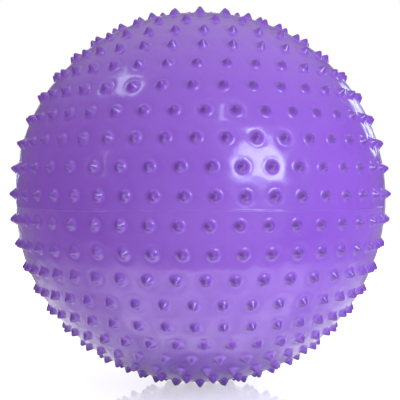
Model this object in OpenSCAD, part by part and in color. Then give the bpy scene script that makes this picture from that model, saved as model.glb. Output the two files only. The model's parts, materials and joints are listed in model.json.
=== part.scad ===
// Inflated massage ball: a one-piece cast skin covered with blunt spikes, an air-hole collar and a plug.
// +Z is up and the front of the ball faces -Y. The origin is on the floor, under the middle of the ball.

/* [Ball] */
// Diameter over the tips of the spikes
ball_d = 650; // [600:10:750]
// Thickness of the cast wall
wall_t = 0.8; // [0.6:0.1:1.2]
// How far the ball's weight presses in its lowest tips
pressed_h = 2; // [1:0.5:3]
// How far the wall settles at its middle under its own weight, in degrees of latitude
settle_angle = 2.5; // [0:0.5:3]
// How much flatter than a true ball the wall is at its top and bottom
pole_flat = 1; // [0.8:0.1:1.5]

/* [Spikes] */
// Height of a spike over the wall
spike_h = 10; // [8:0.5:12]
// Diameter of a spike where it leaves the wall
spike_root_d = 21; // [18:0.5:22]
// Diameter of a spike's blunt tip
spike_tip_d = 4.5; // [3:0.5:6]

/* [Parting line] */
// Height of the ridge that the two halves of the mould leave
ridge_h = 0.5; // [0.3:0.1:0.8]
// Width of that ridge
ridge_w = 1.6; // [1:0.2:2.4]

/* [Air hole] */
// Latitude of the air hole, which is at the back of the ball
valve_lat = 20; // [10:1:30]
// Compass bearing of the air hole from the front, anticlockwise seen from above
valve_bearing = 146; // [140:1:150]
// Radius of the round patch without spikes
valve_patch_r = 27; // [24:1:32]
// Diameter of the plug's shank
plug_d = 9.4; // [8:0.2:10]
// Length of the plug's shank
plug_l = 18; // [14:1:22]
// Running clearance of the shank in its collar, at the radius
plug_gap = 0.05; // [0.02:0.01:0.1]

/* [Hidden] */
$fn = 48;

tip_r = ball_d / 2;                    // radius of the ball over its tips
wall_r = tip_r - spike_h;              // radius of the wall's outer face
centre_z = tip_r - pole_flat - pressed_h;  // height of the ball's centre over the floor
ring_count = 24;                       // rings of spikes from the bottom to the top
ring_pitch = 180 / ring_count;         // step of latitude from ring to ring
cap_rings = 4;                         // rings on each of the flatter caps at the top and bottom
widest_ring = 46;                      // spikes in the rings next to the parting line
seam_bearing = 180;                    // every ring leaves a gap here, straight at the back

// How far each ring is turned at the front, in degrees, from the bottom ring to the top one
ring_turn = [0, 0, 0, 0, -3.5, 2.5, 1.5, 3, -2, -2.5, 3.5, -1.5,
             0, 3, 3, 1.5, 2.5, -1, -5, -5, 0.5, 0, 0, 0];

boss_r = 21;                           // the thick round patch inside the skin
boss_t = 7;
flange_r = 15.5;                       // the collar's flange, flush with the wall
flange_t = 2.4;
neck_r = 8.6;                          // the collar's neck, through the boss
lip_r = 11.5;                          // the collar's lip behind the boss
lip_t = 1.6;
bore_r = plug_d / 2 + plug_gap;
head_r = 9;                            // the plug's head, let into the flange
head_t = 1.5;
head_gap = 0.35;                       // room round the head
head_sink = 0.1;                       // how far the head's top is below the flange's
lead_l = 3;                            // the taper at the end of the shank
lead_drop = 0.9;
hollow_r = 2.4;                        // the blind hollow that lets the shank give
hollow_end = 1;                        // thickness of the shank's closed end, under the head
notch_w = 4;                           // the notches for a fingernail or a pry tool
notch_d = 1.8;
past = 1;                              // how far a cut runs on past the face that it opens

// Heights along the air hole's axis, from the ball's centre
seat_top = sqrt(wall_r * wall_r - flange_r * flange_r);  // the flange's top, where its rim meets the wall
boss_face = wall_r - boss_t;           // the boss's inner face
lip_face = boss_face - lip_t;          // the lip's inner face
shank_top = seat_top - head_t;         // the underside of the plug's head
shank_end = shank_top - plug_l;

function flat_lat(k) = (k + 0.5) * ring_pitch - 90;
function ring_lat(k) = flat_lat(k) - settle_angle * cos(flat_lat(k));
function ring_size(k) = round(widest_ring * cos(flat_lat(k)));
// Angle of a spike round its ring from the gap at the back, with the ring's turn eased in towards the front
function spike_turn(k, i) =
    let (a = (i + 0.5) * 360 / ring_size(k))
    a + ring_turn[k] * (1 - cos(a)) / 2;

// Unit vector towards a latitude and a bearing, which is 0 at the front
function towards(lat, bearing) = [cos(lat) * sin(bearing), -cos(lat) * cos(bearing), sin(lat)];
function patch_distance(k, i) =
    let (c = towards(ring_lat(k), seam_bearing + spike_turn(k, i)) * towards(valve_lat, valve_bearing))
    wall_r * acos(c);
patch_reach = (valve_patch_r + spike_root_d / 2) * 180 / PI;

// Latitude of the edge of the top cap (side 1) or the bottom one (side -1), between two rings
function edge_lat(side) =
    let (k = side > 0 ? ring_count - cap_rings : cap_rings)
    side * (ring_lat(k) + ring_lat(k - 1)) / 2;
// How far beyond the ball's centre a cap's own centre is, and its radius, where the ball has radius r
function cap_shift(side, r) = pole_flat * (r - pole_flat / 2) / (r - pole_flat - r * sin(edge_lat(side)));
function cap_radius(side, r) = r + cap_shift(side, r) - pole_flat;
function cap_side(k) = k < cap_rings ? -1 : k >= ring_count - cap_rings ? 1 : 0;

// Turns the +Z axis to a latitude and bearing
module aim(lat, bearing) {
    rotate([0, 0, bearing - 90]) rotate([0, 90 - lat, 0]) children();
}

// A round post between two heights along the air hole's axis
module post(r, bottom, top) {
    translate([0, 0, bottom]) cylinder(r = r, h = top - bottom);
}

// Repeats its children square to the wall on every spike's place, which is their origin
module each_spike() {
    for (k = [0 : ring_count - 1], i = [0 : ring_size(k) - 1])
        if (patch_distance(k, i) > patch_reach) {
            side = cap_side(k);
            shift = side == 0 ? 0 : cap_shift(side, wall_r);
            r = side == 0 ? wall_r : cap_radius(side, wall_r);
            lat = ring_lat(k) + side * asin(shift * cos(ring_lat(k)) / r);
            translate([0, 0, -side * shift])
                aim(lat, seam_bearing + spike_turn(k, i))
                    translate([0, 0, r]) children();
        }
}

// The larger ball that one cap is part of, turned so that its own poles and seam are outside the cap
module cap_ball(side, r) {
    translate([0, 0, -side * cap_shift(side, r)])
        rotate([0, side * 90, 0]) sphere(cap_radius(side, r), $fn = 180);
}

// The ball of one face of the wall, with its two flatter caps
module wall_ball(r) {
    intersection() {
        rotate([0, 0, seam_bearing - 90]) sphere(r, $fn = 180);
        cap_ball(1, r);
        cap_ball(-1, r);
    }
}

module spike() {
    root_r = spike_root_d / 2;
    tip_half = spike_tip_d / 2;
    sink = wall_t / 2;
    slope = (root_r - tip_half) / spike_h;
    translate([0, 0, -sink])
        cylinder(r1 = root_r + slope * sink, r2 = tip_half, h = spike_h + sink);
}

// The ridge at the parting line, which has settled with the wall
module parting_ridge() {
    z = -wall_r * sin(settle_angle);
    translate([0, 0, z - ridge_w / 2])
        cylinder(r = wall_r * cos(settle_angle) + ridge_h, h = ridge_w, $fn = 180);
}

// The air space, which leaves the thick boss standing
module air_space() {
    difference() {
        wall_ball(wall_r - wall_t);
        aim(valve_lat, valve_bearing)
            post(boss_r, boss_face, wall_r);
    }
}

// The stepped form of the collar's flange and neck, with its flange drawn out to a given height
module collar_form(top) {
    post(flange_r, seat_top - flange_t, top);
    post(neck_r, lip_face, seat_top - flange_t / 2);
}

module ball_shell() {
    color([0.58, 0.38, 0.83])
        translate([0, 0, centre_z])
            difference() {
                union() {
                    wall_ball(wall_r);
                    parting_ridge();
                    each_spike() spike();
                }
                air_space();
                aim(valve_lat, valve_bearing) collar_form(wall_r + past);
                translate([0, 0, -centre_z - tip_r / 2])
                    cube(tip_r, center = true);
            }
}

module valve_seat() {
    color([0.66, 0.52, 0.84])
        translate([0, 0, centre_z])
            aim(valve_lat, valve_bearing)
                difference() {
                    union() {
                        collar_form(seat_top);
                        post(lip_r, lip_face, boss_face);
                    }
                    post(bore_r, lip_face - past, seat_top + past);
                    post(head_r + head_gap, shank_top, seat_top + past);
                }
}

module valve_plug() {
    color([0.93, 0.92, 0.9])
        translate([0, 0, centre_z])
            aim(valve_lat, valve_bearing)
                difference() {
                    union() {
                        post(head_r, shank_top, seat_top - head_sink);
                        post(plug_d / 2, shank_end + lead_l, shank_top);
                        translate([0, 0, shank_end])
                            cylinder(r1 = plug_d / 2 - lead_drop, r2 = plug_d / 2, h = lead_l);
                    }
                    post(hollow_r, shank_end - past, shank_top - hollow_end);
                    for (side = [-1, 1])
                        translate([side * head_r, 0, shank_top + head_t / 2])
                            cube([2 * notch_d, notch_w, head_t + 2 * past], center = true);
                }
}

ball_shell();
valve_seat();
valve_plug();
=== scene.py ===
"""Looks of an inflated massage ball: a glossy, slightly milky cast skin with rows of blunt spikes."""

import json

import bpy
import numpy as np
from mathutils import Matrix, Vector
from mathutils.geometry import delaunay_2d_cdt


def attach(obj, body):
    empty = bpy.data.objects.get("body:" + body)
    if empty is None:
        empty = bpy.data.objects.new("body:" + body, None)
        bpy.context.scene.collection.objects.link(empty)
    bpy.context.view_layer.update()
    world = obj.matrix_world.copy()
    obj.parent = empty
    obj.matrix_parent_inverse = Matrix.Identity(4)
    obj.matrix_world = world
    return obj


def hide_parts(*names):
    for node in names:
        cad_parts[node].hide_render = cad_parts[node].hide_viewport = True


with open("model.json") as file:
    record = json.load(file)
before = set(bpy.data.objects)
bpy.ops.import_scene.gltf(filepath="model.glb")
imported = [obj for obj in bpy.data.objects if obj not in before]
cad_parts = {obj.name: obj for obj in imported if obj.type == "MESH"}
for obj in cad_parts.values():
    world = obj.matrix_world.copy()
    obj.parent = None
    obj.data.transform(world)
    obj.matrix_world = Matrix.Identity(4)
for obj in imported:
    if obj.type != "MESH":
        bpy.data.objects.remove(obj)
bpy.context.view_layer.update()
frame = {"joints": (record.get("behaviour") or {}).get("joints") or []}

MM = 0.001

# The ball, in metres, with its settled wall and its flatter top and bottom.
TIP_RADIUS = 325 * MM
SPIKE_HEIGHT = 10 * MM
WALL_RADIUS = TIP_RADIUS - SPIKE_HEIGHT
WALL_THICKNESS = 0.8 * MM
POLE_FLAT = 1 * MM
PRESSED = 2 * MM
CENTRE = np.array([0, 0, TIP_RADIUS - POLE_FLAT - PRESSED])
SETTLE = np.radians(2.5)
CAP_START = np.sin(np.radians(60))

# The rings of spikes from the bottom to the top, and how far each is turned at the front, in degrees.
RING_COUNT = 24
WIDEST_RING = 46
RING_TURN = [0, 0, 0, 0, -3.5, 2.5, 1.5, 3, -2, -2.5, 3.5, -1.5,
             0, 3, 3, 1.5, 2.5, -1, -5, -5, 0.5, 0, 0, 0]

# A spike: a rounded tip, a straight flank, and a flare that fades into the wall. Radii from its axis.
FLANK_FOOT = 7 * MM
FLANK_SLOPE = 1.35
FLARE_EDGE = 13 * MM
DISC_EDGE = 16.6 * MM
TIP_RINGS = [0.9 * MM, 1.75 * MM, 2.54 * MM, 4.5 * MM]
FLARE_RINGS = 7
DISH_RINGS = 3
SPIKE_SIDES = 24
SHORTEST_SPIKE = 0.95  # share of the full height
SPIKE_LEAN = 0.12 * MM

# How the wall swells between the spikes, and the spacing of its points there.
SWELL = 0.6 * MM
SWELL_REACH = 9 * MM
FILL_SPACING = 4.5 * MM
FLAT_MERGE = 1e-9  # points closer than this on the flat plane would be one
NEAREST = 4
BATCH = 4000  # directions compared with the spikes at once

# The hollows of the wall: how many waves cross the ball, the range of their pace, in radians to a radius,
# and of their depth, in millimetres. They fade out towards the air hole.
SLOW_WAVES = 14
SLOW_PACE = (14, 32)
SLOW_DEPTH = (0.02, 0.06)
FINE_WAVES = 10
FINE_PACE = (60, 130)
FINE_DEPTH = 0.045
PHASES = (0, 6)
TRUE_PATCH = 0.6  # share of the round patch about the air hole that stays true

# The parting line: the places across it, the heights there, the number of points along it, how it wanders
# (a depth in millimetres, waves round the ball, a phase), and how much and how often it fades.
PARTING_ACROSS = np.array([-2.4, -1.1, -0.6, -0.1, 0.3, 0.7, 1.2, 2.4]) * MM
PARTING_HEIGHT = np.array([0, 0.02, 0.6, 0.55, 0.1, 0.45, 0.05, 0]) * MM
PARTING_COUNT = 760
PARTING_WANDER = [(0.35, 5, 1), (0.2, 13, 0), (0.1, 31, 0)]
PARTING_FADE = 0.15
PARTING_FADES = 7
PARTING_CLEAR = 5 * MM

# The air hole, on the line that the plug slides along. Its outlines are (radius, depth below the wall's
# round outer face) in millimetres.
VALVE_AXIS = np.array(frame["joints"][0]["axis"])
VALVE_SIDES = 96
PATCH_RADIUS = 37.5 * MM
POCKET_EDGE = 19 * MM
BOSS_RADIUS = 21
POCKET = [(18.1, 0.52), (17.2, 0.3), (16.4, 0.25), (15.8, 0.45), (15.56, 0.8), (15.56, 2.82),
          (8.64, 2.82), (8.64, 7), (20, 7), (BOSS_RADIUS, 6), (BOSS_RADIUS, 1.9)]
INNER_ROWS = 60
COLLAR = [(5, 1.88), (9.2, 1.88), (9.35, 1.73), (9.35, 0.6), (9.5, 0.44), (9.8, 0.38),
          (14.9, 0.38), (15.3, 0.46), (15.5, 0.7), (15.5, 2.6), (15.3, 2.78), (8.8, 2.78),
          (8.6, 3), (8.6, 6.98), (11.2, 6.98), (11.5, 7.3), (11.5, 8.3), (11.2, 8.6),
          (5, 8.6), (4.75, 8.35), (4.75, 2.1)]
PLUG = [(5.6, 0.64), (6.1, 0.5), (8.5, 0.48), (8.86, 0.6), (9, 0.85), (9, 1.6), (8.8, 1.86),
        (5, 1.88), (4.7, 2.15), (4.7, 16.88), (4.5, 17.7), (3.9, 19.6), (3.6, 19.88),
        (2.6, 19.88), (2.4, 19.6), (2.4, 3.1), (2.2, 2.88)]
HEAD_RADIUS = 9
NOTCH_DEPTH = 1.8
NOTCH_HALF_ANGLE = np.radians(15)
NOTCHED_BEYOND = 8  # circles with a larger radius than this have the notches

# Edges sharper than this stay sharp in a smooth mesh.
SHARP_ANGLE = np.radians(50)


def unit(v):
    """The vectors, each one long."""
    return v / np.linalg.norm(v, axis=-1, keepdims=True)


def towards(latitude, bearing):
    """Unit vectors to a latitude and a bearing, which is 0 at the front, -Y."""
    latitude, bearing = np.broadcast_arrays(latitude, bearing)
    flat = np.cos(latitude)
    return np.stack([flat * np.sin(bearing), -flat * np.cos(bearing), np.sin(latitude)], axis=-1)


def arc_to(directions, axis):
    """Distance along the wall from each direction to an axis."""
    return np.arccos(np.clip(directions @ axis, -1, 1)) * WALL_RADIUS


def spike_axes():
    """Unit vectors to every spike, ring by ring. The round patch about the air hole has none."""
    rings = []
    for k in range(RING_COUNT):
        flat = np.radians((k + 0.5) * 180 / RING_COUNT - 90)
        count = round(WIDEST_RING * np.cos(flat))
        around = (np.arange(count) + 0.5) * 2 * np.pi / count
        turn = np.radians(RING_TURN[k]) * (1 - np.cos(around)) / 2
        rings.append(towards(flat - SETTLE * np.cos(flat), np.pi + around + turn))
    axes = np.concatenate(rings)
    return axes[arc_to(axes, VALVE_AXIS) > PATCH_RADIUS]


def circle_about(axis, sides):
    """Unit vectors square to an axis, all the way round it, anticlockwise seen from outside."""
    helper = np.array([0, 0, 1.0]) if abs(axis[2]) < 0.9 else np.array([1.0, 0, 0])
    u = unit(np.cross(helper, axis))
    turn = np.arange(sides) * 2 * np.pi / sides
    return np.outer(np.cos(turn), u) + np.outer(np.sin(turn), np.cross(axis, u))


def wall_circles(axis, radii, sides):
    """Directions on circles round an axis. The radii are measured along the wall."""
    angle = np.asarray(radii)[:, None, None] / WALL_RADIUS
    return np.cos(angle) * axis + np.sin(angle) * circle_about(axis, sides)


def nearest_spikes(directions, axes):
    """For each direction, the distances along the wall to its few nearest spikes."""
    rows = []
    for start in range(0, len(directions), BATCH):
        closeness = directions[start:start + BATCH] @ axes.T
        rows.append(-np.partition(-closeness, NEAREST, axis=1)[:, :NEAREST])
    return np.arccos(np.clip(np.concatenate(rows), -1, 1)) * WALL_RADIUS


def swell(directions, axes):
    """Height of the wall where air pressure lifts it between the spikes."""
    rise = np.clip((nearest_spikes(directions, axes) - FLARE_EDGE) / SWELL_REACH, 0, 1)
    return SWELL * np.prod(1 - (1 - rise) ** 2, axis=1)


def unevenness(directions):
    """Slow, shallow hollows of a soft cast wall, with its flatter top and bottom. It never rises."""
    rng = np.random.default_rng(4)
    height = np.zeros(len(directions))
    for _ in range(SLOW_WAVES):
        wave = unit(rng.normal(size=3)) * rng.uniform(*SLOW_PACE)
        height += rng.uniform(*SLOW_DEPTH) * MM * (np.sin(directions @ wave + rng.uniform(*PHASES)) - 1)
    for _ in range(FINE_WAVES):
        wave = unit(rng.normal(size=3)) * rng.uniform(*FINE_PACE)
        height += FINE_DEPTH * MM * (np.sin(directions @ wave + rng.uniform(*PHASES)) - 1)
    away = np.clip(arc_to(directions, VALVE_AXIS) / PATCH_RADIUS - TRUE_PATCH, 0, 1)
    beyond = np.clip(np.abs(directions[:, 2]) - CAP_START, 0, 1) / (1 - CAP_START)
    return height * away - POLE_FLAT * beyond


def spike_profile(radius):
    """Height of a spike over the wall at a distance from its axis."""
    flare = FLARE_EDGE - FLANK_FOOT
    foot = FLANK_SLOPE * flare / 3
    flank = foot + FLANK_SLOPE * (FLANK_FOOT - radius)
    steep = np.hypot(1, FLANK_SLOPE)
    tip_radius = (foot + FLANK_SLOPE * FLANK_FOOT - SPIKE_HEIGHT) / (steep - 1)
    tip = SPIKE_HEIGHT - tip_radius + np.sqrt(np.maximum(tip_radius**2 - radius**2, 0))
    skirt = foot * (np.clip(FLARE_EDGE - radius, 0, flare) / flare) ** 3
    on_tip = radius < tip_radius * FLANK_SLOPE / steep
    return np.where(on_tip, tip, np.where(radius < FLANK_FOOT, flank, skirt))


class Builder:
    """Collects points and faces, and the outline points that the wall between the spikes joins on to."""

    def __init__(self):
        self.points = []
        self.faces = []
        self.count = 0
        self.outline = []
        self.outline_group = []
        self.outline_index = []

    def add_points(self, points):
        """Adds points and gives the number of the first."""
        first = self.count
        self.points.append(points.reshape(-1, 3))
        self.count += len(self.points[-1])
        return first

    def add_rows(self, rows, inside_out=False, closed=False):
        """Joins circles of points, one row after another. A row of one point closes an end, and closed joins
        the last row to the first."""
        starts = [self.add_points(row) for row in rows]
        if closed:
            starts.append(starts[0])
            rows = [*rows, rows[0]]
        for start, row, after, next_row in zip(starts, rows, starts[1:], rows[1:]):
            sides = max(len(row), len(next_row))
            for s in range(sides):
                t = (s + 1) % sides
                face = [start + s, after + s, after + t, start + t]
                if len(row) == 1:
                    face = [start, after + s, after + t]
                if len(next_row) == 1:
                    face = [start + s, after, start + t]
                self.faces.append(face[::-1] if inside_out else face)
        return starts[0]

    def add_outline(self, directions, group, first):
        """Marks points, numbered from first, as a patch's edge. Group -1 is the open wall."""
        self.outline.append(directions)
        self.outline_group += [group] * len(directions)
        self.outline_index += range(first, first + len(directions))


def add_spikes(builder, axes):
    """Every spike as a round patch with its dish, each a little different in height and lean."""
    rng = np.random.default_rng(11)
    flare = np.linspace(FLANK_FOOT, FLARE_EDGE, FLARE_RINGS)
    dish = np.linspace(FLARE_EDGE, DISC_EDGE, DISH_RINGS + 1)[1:]
    radii = np.concatenate([TIP_RINGS, flare, dish])
    share = spike_profile(radii)[:, None, None] / SPIKE_HEIGHT
    for group, axis in enumerate(axes):
        circles = wall_circles(axis, radii, SPIKE_SIDES)
        tall = SPIKE_HEIGHT * rng.uniform(SHORTEST_SPIKE, 1)
        lean = rng.normal(size=3) * SPIKE_LEAN
        rings = circles * (WALL_RADIUS + share * tall) + lean * share
        outer = circles[-DISH_RINGS:]
        rings[-DISH_RINGS:] += outer * swell(outer.reshape(-1, 3), axes).reshape(DISH_RINGS, SPIKE_SIDES, 1)
        tip = axis * (WALL_RADIUS + tall) + lean
        builder.add_rows([tip[None], *rings])
        builder.add_outline(circles[-1], group, builder.count - SPIKE_SIDES)


def turned(outline, shape=1):
    """Circles of points about the air hole's axis. shape scales them at each place round the axis."""
    circle = circle_about(VALVE_AXIS, VALVE_SIDES) * shape
    return [circle * radius * MM + VALVE_AXIS * (WALL_RADIUS - depth * MM) for radius, depth in outline]


def add_hollow(builder, group):
    """The pocket that the collar sits in, the thick boss round it, and the whole inner face of the wall."""
    circle = circle_about(VALVE_AXIS, VALVE_SIDES)
    edge = wall_circles(VALVE_AXIS, [POCKET_EDGE], VALVE_SIDES)[0]
    inner = WALL_RADIUS - WALL_THICKNESS
    start = np.arcsin(BOSS_RADIUS * MM / inner)
    sweep = np.linspace(start, np.pi, INNER_ROWS, endpoint=False)
    wall = [inner * (VALVE_AXIS * np.cos(angle) + circle * np.sin(angle)) for angle in sweep]
    rows = [edge * WALL_RADIUS, *turned(POCKET), *wall, -VALVE_AXIS[None] * inner]
    first = builder.add_rows(rows, inside_out=True)
    builder.add_outline(edge, group, first)


def parting_line():
    """Directions and heights of the fine, doubled ridge that the two halves of the mould leave."""
    bearing = np.arange(PARTING_COUNT) * 2 * np.pi / PARTING_COUNT
    wander = sum(depth * np.sin(waves * bearing + phase) for depth, waves, phase in PARTING_WANDER) * MM
    strength = 1 - PARTING_FADE * (1 - np.sin(PARTING_FADES * bearing))
    middle = -WALL_RADIUS * np.sin(SETTLE) + wander
    latitude = np.arcsin((middle + PARTING_ACROSS[:, None]) / WALL_RADIUS)
    height = PARTING_HEIGHT[:, None] * strength
    return towards(latitude, bearing).reshape(-1, 3), height.reshape(-1)


def wall_fill(axes):
    """An even spread of directions over the wall that the spikes, the air hole and the parting line leave."""
    count = int(4 * np.pi * WALL_RADIUS**2 / FILL_SPACING**2)
    step = np.arange(count) + 0.5
    directions = towards(np.arcsin(1 - 2 * step / count), np.pi * (1 + np.sqrt(5)) * step)
    off_spikes = nearest_spikes(directions, axes).min(axis=1) > DISC_EDGE + 0.5 * FILL_SPACING
    off_hole = arc_to(directions, VALVE_AXIS) > POCKET_EDGE + 0.5 * FILL_SPACING
    off_parting = np.abs(directions[:, 2] + np.sin(SETTLE)) * WALL_RADIUS > PARTING_CLEAR
    return directions[off_spikes & off_hole & off_parting]


def spread_flat(directions):
    """The ball's directions on a plane, seen from the air hole, which keeps every circle a circle."""
    u, v = circle_about(VALVE_AXIS, 4)[:2]
    scale = 1 - directions @ VALVE_AXIS
    return [Vector((x, y)) for x, y in zip(directions @ u / scale, directions @ v / scale)]


def add_wall(builder):
    """Joins the spikes, the parting line and the air hole with one even skin of triangles. A triangle that
    lies wholly inside one spike's patch, or inside the air hole's, is left to the rows there."""
    axes = spike_axes()
    add_spikes(builder, axes)
    add_hollow(builder, len(axes))
    ridge, ridge_height = parting_line()
    directions = np.concatenate([ridge, wall_fill(axes)])
    height = swell(directions, axes)
    height[:len(ridge)] += ridge_height
    first = builder.add_points(directions * (WALL_RADIUS + height)[:, None])
    builder.add_outline(directions, -1, first)
    everything = np.concatenate(builder.outline)
    group = builder.outline_group
    index = builder.outline_index
    for a, b, c in delaunay_2d_cdt(spread_flat(everything), [], [], 0, FLAT_MERGE)[2]:
        if not group[a] == group[b] == group[c] >= 0:
            outward = np.cross(everything[b] - everything[a], everything[c] - everything[a]) @ everything[a]
            order = (a, b, c) if outward > 0 else (a, c, b)
            builder.faces.append(tuple(index[i] for i in order))


def new_piece(name, points, faces, body, material):
    """A smooth mesh piece that rides on a body."""
    mesh = bpy.data.meshes.new(name)
    mesh.from_pydata(points.tolist(), [], faces)
    mesh.polygons.foreach_set("use_smooth", [True] * len(mesh.polygons))
    mesh.set_sharp_from_angle(angle=SHARP_ANGLE)
    mesh.materials.append(material)
    piece = bpy.data.objects.new(name, mesh)
    bpy.context.scene.collection.objects.link(piece)
    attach(piece, body)
    return piece


def make_skin():
    """The whole skin as one closed mesh, outside and inside."""
    builder = Builder()
    add_wall(builder)
    points = np.concatenate(builder.points)
    directions = unit(points)
    points = points + directions * unevenness(directions)[:, None] + CENTRE
    points[:, 2] = np.maximum(points[:, 2], 0)
    skin = new_piece("ball_skin", points, builder.faces, "ball", skin_material())
    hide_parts("ball_shell")


def make_collar():
    """The collar that the plug fits, with its edges rounded as they are moulded."""
    builder = Builder()
    builder.add_rows(turned(COLLAR), closed=True)
    points = np.concatenate(builder.points) + CENTRE
    collar = new_piece("valve_collar", points, builder.faces, "ball", collar_material())
    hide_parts("valve_seat")


def make_plug():
    """The push-in plug, with two notches in its head for a fingernail and a hollow in its shank."""
    turn = np.arange(VALVE_SIDES) * 2 * np.pi / VALVE_SIDES
    from_notch = np.abs(np.arcsin(np.abs(np.sin(turn))) - np.pi / 2)
    notch = np.clip(1 - (from_notch / NOTCH_HALF_ANGLE) ** 2, 0, 1) ** 0.5 * NOTCH_DEPTH
    head = (1 - notch / HEAD_RADIUS)[:, None]
    rows = [turned([place], head if place[0] > NOTCHED_BEYOND else 1)[0] for place in PLUG]
    top = VALVE_AXIS[None] * (WALL_RADIUS - PLUG[0][1] * MM)
    end = VALVE_AXIS[None] * (WALL_RADIUS - PLUG[-1][1] * MM)
    builder = Builder()
    builder.add_rows([top, *rows, end])
    points = np.concatenate(builder.points) + CENTRE
    plug = new_piece("push_in_plug", points, builder.faces, "plug", plug_material())
    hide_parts("valve_plug")


# ---- materials ----

# Colours from a noise's low places to its high ones.
WALL_VIOLET = [(0.3, (0.275, 0.085, 0.63)), (0.7, (0.31, 0.105, 0.67))]
# The spikes' deeper violet is painted shade for their shadowed flanks, and partly the tone of their thicker
# PVC.
SPIKE_SHADE_VIOLET = [(0.3, (0.2, 0.055, 0.46)), (0.7, (0.225, 0.068, 0.49))]
COLLAR_VIOLET = [(0.3, (0.3, 0.17, 0.62)), (0.7, (0.35, 0.2, 0.68))]
PLUG_WHITE = [(0.3, (0.8, 0.78, 0.74)), (0.7, (0.86, 0.84, 0.8))]

# The heights over the wall where the wall's colour turns into the spikes' deeper violet, which is painted
# shade.
SPIKE_SHADE_FROM = 0.3 * MM
SPIKE_SHADE_TO = 3.5 * MM


def new_material(name, **values):
    """A Principled material with plain values, its node tree, and its shader."""
    material = bpy.data.materials.new(name)
    material.use_nodes = True
    tree = material.node_tree
    shader = tree.nodes["Principled BSDF"]
    for socket, value in values.items():
        shader.inputs[socket.replace("_", " ")].default_value = value
    return material, tree, shader


def object_noise(tree, scale, detail=2):
    """Noise fixed to the object."""
    place = tree.nodes.new("ShaderNodeTexCoord")
    noise = tree.nodes.new("ShaderNodeTexNoise")
    noise.inputs["Scale"].default_value = scale
    noise.inputs["Detail"].default_value = detail
    tree.links.new(place.outputs["Object"], noise.inputs["Vector"])
    return noise.outputs["Fac"]


def ramp(tree, factor, stops):
    """A colour ramp from (position, colour) stops."""
    node = tree.nodes.new("ShaderNodeValToRGB")
    elements = node.color_ramp.elements
    while len(elements) < len(stops):
        elements.new(0.5)
    for element, (position, colour) in zip(elements, stops):
        element.position = position
        element.color = (*colour, 1)
    tree.links.new(factor, node.inputs["Fac"])
    return node.outputs["Color"]


def spread(tree, factor, low, high, start=0.3, end=0.7):
    """Maps a factor on to the values from low to high, as it goes from start to end, and no further."""
    node = tree.nodes.new("ShaderNodeMapRange")
    for socket, value in {"From Min": start, "From Max": end, "To Min": low, "To Max": high}.items():
        node.inputs[socket].default_value = value
    tree.links.new(factor, node.inputs["Value"])
    return node.outputs["Result"]


def add_bump(tree, shader, height, strength, distance):
    """Fine relief from a height of 0 to 1."""
    bump = tree.nodes.new("ShaderNodeBump")
    bump.inputs["Strength"].default_value = strength
    bump.inputs["Distance"].default_value = distance
    tree.links.new(height, bump.inputs["Height"])
    tree.links.new(bump.outputs["Normal"], shader.inputs["Normal"])


def length_of(tree, vector):
    """A vector's length."""
    length = tree.nodes.new("ShaderNodeVectorMath")
    length.operation = "LENGTH"
    tree.links.new(vector, length.inputs[0])
    return length.outputs["Value"]


def combine(tree, operation, first, second):
    """The sum, product or other outcome of two values."""
    maths = tree.nodes.new("ShaderNodeMath")
    maths.operation = operation
    tree.links.new(first, maths.inputs[0])
    tree.links.new(second, maths.inputs[1])
    return maths.outputs[0]


def height_over_wall(tree):
    """A place's distance outside the ball's smooth wall."""
    place = tree.nodes.new("ShaderNodeTexCoord")
    from_centre = tree.nodes.new("ShaderNodeVectorMath")
    from_centre.operation = "SUBTRACT"
    from_centre.inputs[1].default_value = CENTRE
    tree.links.new(place.outputs["Object"], from_centre.inputs[0])
    height = tree.nodes.new("ShaderNodeMath")
    height.operation = "SUBTRACT"
    height.inputs[1].default_value = WALL_RADIUS
    tree.links.new(length_of(tree, from_centre.outputs["Vector"]), height.inputs[0])
    return height.outputs[0]


def skin_material():
    """Soft violet PVC with a glossy face. Its wall has slow patches of slightly milkier and deeper colour.
    The spikes are painted a deeper violet as they rise from the wall. This is painted shade for their
    shadowed flanks, together with the deeper tone of their thicker PVC."""
    material, tree, shader = new_material("violet_pvc_with_painted_spike_shade", Coat_Weight=0.35, Coat_Roughness=0.08, IOR=1.5)
    colour = tree.nodes.new("ShaderNodeMix")
    colour.data_type = "RGBA"
    wall = colour.inputs[6]
    spikes = colour.inputs[7]
    mixed = colour.outputs[2]
    noise = object_noise(tree, 6, 3)
    tree.links.new(ramp(tree, noise, WALL_VIOLET), wall)
    tree.links.new(ramp(tree, noise, SPIKE_SHADE_VIOLET), spikes)
    # Painted shade: the colour turns to the spikes' deeper violet from their foot up.
    tree.links.new(spread(tree, height_over_wall(tree), 0, 1, SPIKE_SHADE_FROM, SPIKE_SHADE_TO), colour.inputs[0])
    tree.links.new(mixed, shader.inputs["Base Color"])
    tree.links.new(spread(tree, object_noise(tree, 9), 0.16, 0.26), shader.inputs["Roughness"])
    add_bump(tree, shader, object_noise(tree, 60, 3), 0.5, 1.1 * MM)
    return material


def collar_material():
    """The collar's slightly stiffer, duller violet."""
    material, tree, shader = new_material("collar_pvc", IOR=1.5)
    tree.links.new(ramp(tree, object_noise(tree, 90), COLLAR_VIOLET), shader.inputs["Base Color"])
    tree.links.new(spread(tree, object_noise(tree, 400), 0.3, 0.42), shader.inputs["Roughness"])
    return material


def plug_material():
    """The plug's satin off-white."""
    material, tree, shader = new_material("plug_pvc", IOR=1.5)
    tree.links.new(ramp(tree, object_noise(tree, 120), PLUG_WHITE), shader.inputs["Base Color"])
    tree.links.new(spread(tree, object_noise(tree, 500), 0.35, 0.45), shader.inputs["Roughness"])
    return material


# ---- stage ----

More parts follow.
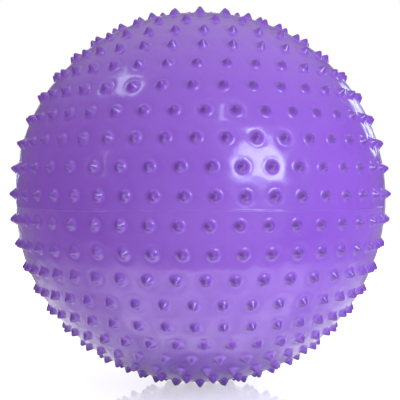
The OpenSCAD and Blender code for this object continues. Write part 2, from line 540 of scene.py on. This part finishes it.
# The floor, in metres. Its front is narrow so that the ball hides where it ends.
FLOOR_FRONT = -0.6
FLOOR_BACK = 3.5
FLOOR_NARROW = 0.34
FLOOR_WIDE = 3
FLOOR_DROP = 0.2 * MM
FLOOR_WHITE = (0.85, 0.85, 0.85, 1)
GLOW_IN_PAINTED_SHADOW = 0.5  # next to the ball, lower there as a painted shadow under it

# A painted reflection: what the ball mirrors of the floor is a glow that only reflections see, a painted pool
# of light in an oval in front of it on a dimmer painted sheen. Both are darker under the ball, a painted
# shadow, and far away, and cloudy.
PAINTED_FLOOR_SHEEN = 1.1
PAINTED_OVAL_SHEEN = 2.3
OVAL_ASIDE = 0.03
OVAL_AHEAD = -0.37
OVAL_HALF_WIDTH = 0.5
OVAL_HALF_DEPTH = 0.185
SHADE_UNDER = 0.4
SHADE_FAR = 0.3
PAINTED_SHEEN_CLOUDS = (0.72, 1.25)

# The room's brightness as it lights the ball, from its sides and from above.
FILL = 0.74
FILL_ABOVE = 0.6 * FILL

# The room's brightness as the ball mirrors it.
SIDES = 0.15
ZENITH = 0.85
AHEAD = 0.5
BEHIND = 0.9

# The lights, all at the same distance from the ball's centre.
LIGHT_COLOUR = (0.76, 0.97, 1)
LIGHT_DISTANCE = 1.7
WATTS = 4  # an area light of radiance 1 has this many watts to a square metre

# The camera, which looks a little below the ball's centre. Its elevation is in degrees.
CAMERA_LENS = 78.5
CAMERA_SENSOR = 36
CAMERA_ELEVATION = 1.1
CAMERA_DISTANCE = 4.8 * WALL_RADIUS
CAMERA_AIM = Vector(CENTRE) - Vector((0, 0, 5 * MM))


def choose(tree, factor, first, second):
    """The first shader where the factor is 0, and the second where it is 1."""
    mix = tree.nodes.new("ShaderNodeMixShader")
    tree.links.new(factor, mix.inputs[0])
    tree.links.new(first, mix.inputs[1])
    tree.links.new(second, mix.inputs[2])
    return mix.outputs[0]


def oval_distance(tree, place):
    """0 at the middle of the lit oval, and 1 along its edge."""
    in_oval = tree.nodes.new("ShaderNodeVectorMath")
    in_oval.operation = "MULTIPLY_ADD"
    in_oval.inputs[1].default_value = (1 / OVAL_HALF_WIDTH, 1 / OVAL_HALF_DEPTH, 0)
    in_oval.inputs[2].default_value = (-OVAL_ASIDE / OVAL_HALF_WIDTH, -OVAL_AHEAD / OVAL_HALF_DEPTH, 0)
    tree.links.new(place, in_oval.inputs[0])
    return length_of(tree, in_oval.outputs["Vector"])


def painted_floor_reflection(tree, place, from_ball):
    """A painted reflection: the floor as the ball mirrors it, a glow that only reflections see. Distances are
    in metres, and round the oval in its own radius.
    """
    sheen = tree.nodes.new("ShaderNodeEmission")
    strength = spread(tree, oval_distance(tree, place), PAINTED_OVAL_SHEEN, PAINTED_FLOOR_SHEEN, 0.8, 1.05)
    tree.links.new(strength, sheen.inputs["Strength"])
    # Painted shadow under the ball, a dimmer painted reflection far away, and painted cloudy patches.
    under = spread(tree, from_ball, SHADE_UNDER, 1, 0.15, 0.2)
    far = spread(tree, from_ball, 1, SHADE_FAR, 0.5, 0.9)
    sheen_clouds = spread(tree, object_noise(tree, 14, 3), *PAINTED_SHEEN_CLOUDS, 0.38, 0.62)
    share = combine(tree, "MULTIPLY", combine(tree, "MULTIPLY", under, far), sheen_clouds)
    tree.links.new(share, sheen.inputs["Color"])
    return sheen.outputs[0]


def floor_material():
    """Glossy white acrylic that glows to the camera. It is brighter away from the ball and dimmer next to it,
    as a painted shadow.
    """
    material, tree, shader = new_material(
        "white_acrylic_with_painted_shadow_and_reflection", Base_Color=FLOOR_WHITE, IOR=1.45, Emission_Color=(1, 1, 1, 1))
    tree.links.new(spread(tree, object_noise(tree, 30), 0.02, 0.04), shader.inputs["Roughness"])
    path = tree.nodes.new("ShaderNodeLightPath")
    place = tree.nodes.new("ShaderNodeTexCoord").outputs["Object"]
    from_ball = length_of(tree, place)
    # Painted shadow: what the camera sees of the floor dims within a metre of the ball, down to half within
    # 0.3 m.
    glow = spread(tree, from_ball, GLOW_IN_PAINTED_SHADOW, 1, 0.3, 1)
    seen_glow = combine(tree, "MULTIPLY", glow, path.outputs["Is Camera Ray"])
    tree.links.new(seen_glow, shader.inputs["Emission Strength"])
    # Painted reflection: what the ball mirrors of the floor is this painted glow, not the floor's own
    # shading.
    mirrored = painted_floor_reflection(tree, place, from_ball)
    seen = choose(tree, path.outputs["Is Glossy Ray"], shader.outputs[0], mirrored)
    tree.links.new(seen, tree.nodes["Material Output"].inputs["Surface"])
    return material


def make_floor():
    """A white sheet that starts a little way in front of the ball and runs far back."""
    right = [(FLOOR_NARROW, FLOOR_FRONT), (FLOOR_WIDE, 0), (FLOOR_WIDE, FLOOR_BACK)]
    left = [(-x, y) for x, y in reversed(right)]
    mesh = bpy.data.meshes.new("floor")
    mesh.from_pydata([(x, y, -FLOOR_DROP) for x, y in right + left], [], [range(len(right + left))])
    mesh.materials.append(floor_material())
    floor = bpy.data.objects.new("floor", mesh)
    bpy.context.scene.collection.objects.link(floor)


def direction_to(azimuth, elevation):
    """Azimuth is from the front towards +X, and both are in degrees."""
    return Vector(towards(np.radians(elevation), np.radians(azimuth)))


def softbox(name, azimuth, elevation, width, height, radiance, mirrored=True, lighting=True):
    """An even rectangular light that faces the ball. Width and height are in degrees, seen from the ball.
    mirrored says whether the ball mirrors it, and lighting whether it lights the ball's colour."""
    light = bpy.data.lights.new(name, "AREA")
    light.shape = "RECTANGLE"
    light.size = 2 * LIGHT_DISTANCE * np.tan(np.radians(width) / 2)
    light.size_y = 2 * LIGHT_DISTANCE * np.tan(np.radians(height) / 2)
    light.energy = radiance * WATTS * light.size * light.size_y
    light.color = LIGHT_COLOUR
    lamp = bpy.data.objects.new(name, light)
    outward = direction_to(azimuth, elevation)
    lamp.location = Vector(CENTRE) + outward * LIGHT_DISTANCE
    lamp.rotation_euler = outward.to_track_quat("Z", "Y").to_euler()
    lamp.visible_camera = False
    lamp.visible_glossy = mirrored
    lamp.visible_diffuse = lighting
    bpy.context.scene.collection.objects.link(lamp)


def make_lights():
    """One main light high on the right with a softer one round it, a broad key light, and small accents."""
    softbox("main_softbox", 33, 19.5, 19, 16, 6, lighting=False)
    softbox("main_glow", 33, 18, 28, 24, 2, lighting=False)
    softbox("key", 48, 8, 40, 40, 2.5, mirrored=False)
    softbox("right_rim", 137, 18, 12, 18, 2)
    softbox("left_rim", -148, -1, 8, 14, 2)
    softbox("small_softbox", 15.7, 46, 7, 7, 4)
    softbox("left_top_softbox", -74, 56, 14, 9, 3.5)
    softbox("left_strip", -55, 18, 3, 16, 2)


def room_light(tree):
    """A plain white room of brightness 1."""
    light = tree.nodes.new("ShaderNodeBackground")
    light.inputs["Color"].default_value = (1, 1, 1, 1)
    return light


def make_world():
    """A light tent, white to the camera, with an even fill. The ball mirrors it dim at the sides, and bright
    above, in front and straight behind."""
    world = bpy.data.worlds.new("studio")
    world.use_nodes = True
    tree = world.node_tree
    place = tree.nodes.new("ShaderNodeTexCoord")
    axes = tree.nodes.new("ShaderNodeSeparateXYZ")
    tree.links.new(place.outputs["Generated"], axes.inputs[0])
    upward = axes.outputs["Z"]
    backward = axes.outputs["Y"]
    above = spread(tree, upward, SIDES, SIDES + ZENITH, 0.35, 1)
    ahead = spread(tree, backward, 0, AHEAD, -0.4, -0.9)
    behind = spread(tree, backward, 0, BEHIND, 0.93, 0.95)
    mirrored = room_light(tree)
    strength = combine(tree, "ADD", combine(tree, "ADD", above, ahead), behind)
    tree.links.new(strength, mirrored.inputs["Strength"])
    even = room_light(tree)
    tree.links.new(spread(tree, upward, FILL, FILL_ABOVE, 0.2, 1), even.inputs["Strength"])
    path = tree.nodes.new("ShaderNodeLightPath")
    seen = choose(tree, path.outputs["Is Diffuse Ray"], mirrored.outputs[0], even.outputs[0])
    seen = choose(tree, path.outputs["Is Camera Ray"], seen, room_light(tree).outputs[0])
    tree.links.new(seen, tree.nodes["World Output"].inputs["Surface"])
    bpy.context.scene.world = world


def make_camera():
    """A long lens at the height of the ball's middle, straight in front of it."""
    data = bpy.data.cameras.new("camera")
    data.sensor_width = CAMERA_SENSOR
    data.lens = CAMERA_LENS
    camera = bpy.data.objects.new("camera", data)
    camera.location = Vector(CENTRE) + direction_to(0, CAMERA_ELEVATION) * CAMERA_DISTANCE
    camera.rotation_euler = (camera.location - CAMERA_AIM).to_track_quat("Z", "Y").to_euler()
    bpy.context.scene.collection.objects.link(camera)
    bpy.context.scene.camera = camera


make_skin()
make_collar()
make_plug()
make_floor()
make_lights()
make_world()
make_camera()
bpy.context.scene.view_settings.view_transform = "Standard"
